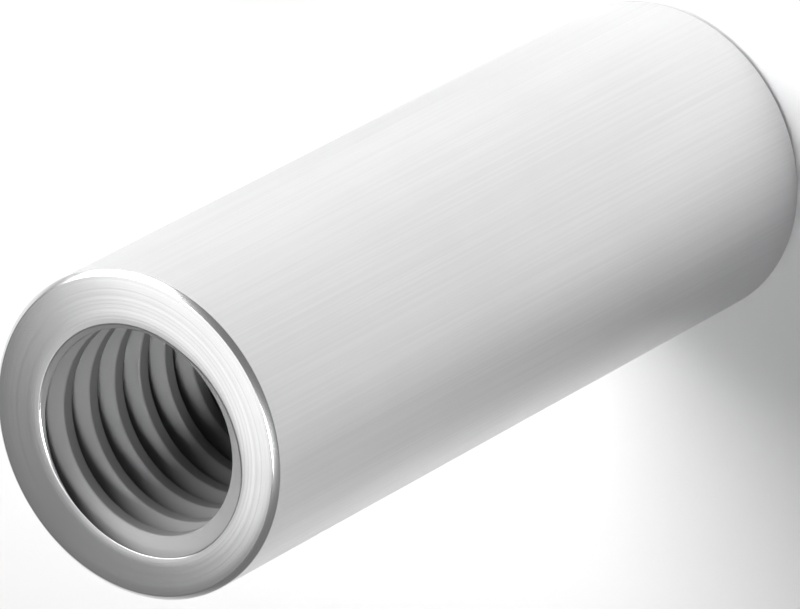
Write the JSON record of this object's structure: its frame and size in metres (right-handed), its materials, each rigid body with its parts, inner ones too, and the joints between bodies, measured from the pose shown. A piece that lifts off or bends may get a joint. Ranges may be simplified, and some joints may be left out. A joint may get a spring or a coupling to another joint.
{
  "type": "coupling nut",
  "caption": "Round steel coupling nut, a long sleeve threaded right through that joins two threaded rods of one size end to end",
  "frame": {"origin": "centre of the bottom end face, which the nut stands on", "axes": "+Z along the bore, from the bottom end to the top end"},
  "size_m": [0.0064, 0.0064, 0.0175],
  "materials": {
    "bright_steel": "bright turned steel, plain, with fine drawing lines along the body"
  },
  "bodies": {
    "root": {"coupling_nut": "bright_steel"}
  },
  "joints": []
}
